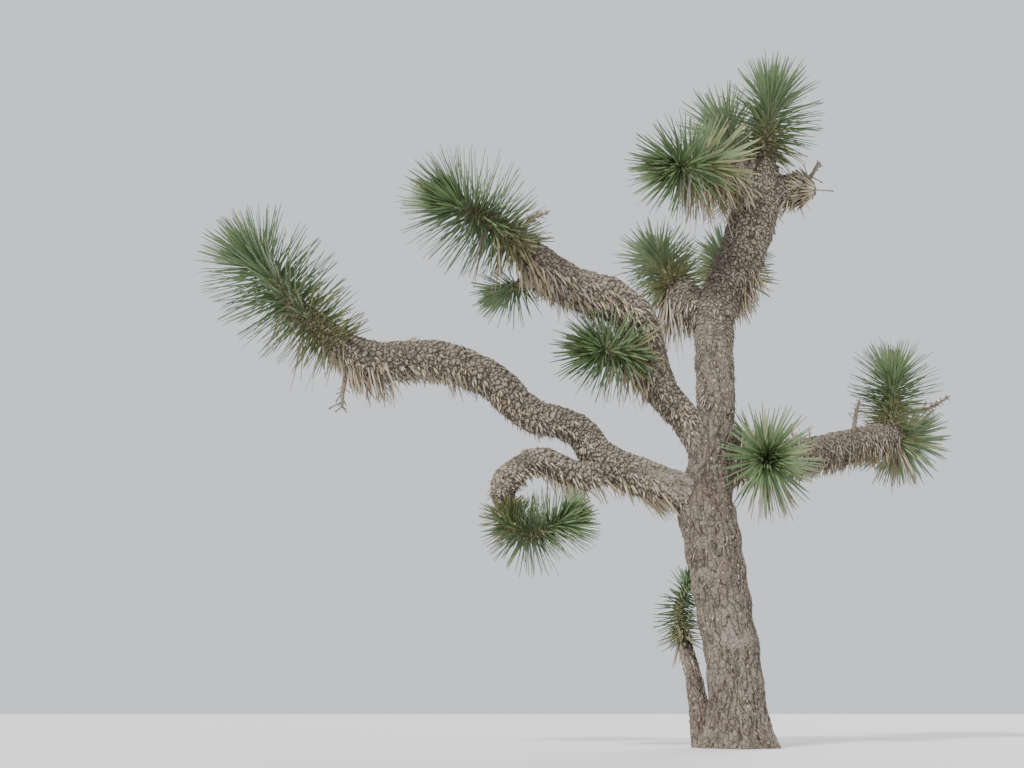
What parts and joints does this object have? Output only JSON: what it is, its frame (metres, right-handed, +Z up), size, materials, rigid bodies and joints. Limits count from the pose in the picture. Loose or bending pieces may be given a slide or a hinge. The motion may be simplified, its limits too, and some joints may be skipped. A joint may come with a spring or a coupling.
{
  "type": "joshua tree",
  "caption": "Joshua tree with a leaning trunk, a root flare, crooked boughs that fork and curl, and a rosette of stiff dagger leaves at the end of each limb",
  "frame": {"origin": "middle of the flat cut under the trunk, on the ground", "axes": "+Z up, +X to the right and +Y away from someone who sees the longer boughs on the left"},
  "size_m": [4.4122, 2.257, 3.8833],
  "materials": {
    "trunk_bark": "rough, furrowed grey-brown bark",
    "bough_bark": "rough bark with scars and stubs of fallen leaves",
    "green_leaf": "waxy grey-green leaves with brown spine tips",
    "dead_leaf": "dry, matt straw and grey leaves",
    "dry_stalk": "dry, weathered flower stalk"
  },
  "bodies": {
    "root": {"trunk": "trunk_bark", "leader": "bough_bark", "left_bough": "bough_bark", "curl_bough_rise": "bough_bark", "curl_bough_turn": "bough_bark", "second_bough": "bough_bark", "upper_left_bough": "bough_bark", "inner_bough": "bough_bark", "back_bough": "bough_bark", "top_left_bough": "bough_bark", "right_bough": "bough_bark", "sprout_stem": "bough_bark", "left_tip_rosette": "green_leaf", "curl_rosette": "green_leaf", "upper_left_rosette": "green_leaf", "under_arm_rosette": "green_leaf", "middle_rosette": "green_leaf", "inner_rosette": "green_leaf", "back_rosette": "green_leaf", "top_left_rosette": "green_leaf", "top_rosette": "green_leaf", "top_back_rosette": "green_leaf", "right_upper_rosette": "green_leaf", "right_tip_rosette": "green_leaf", "right_front_rosette": "green_leaf", "sprout_rosette": "green_leaf", "dry_spur": "dead_leaf", "left_dry_stalk": "dry_stalk", "right_dry_stalk": "dry_stalk"}
  },
  "joints": []
}
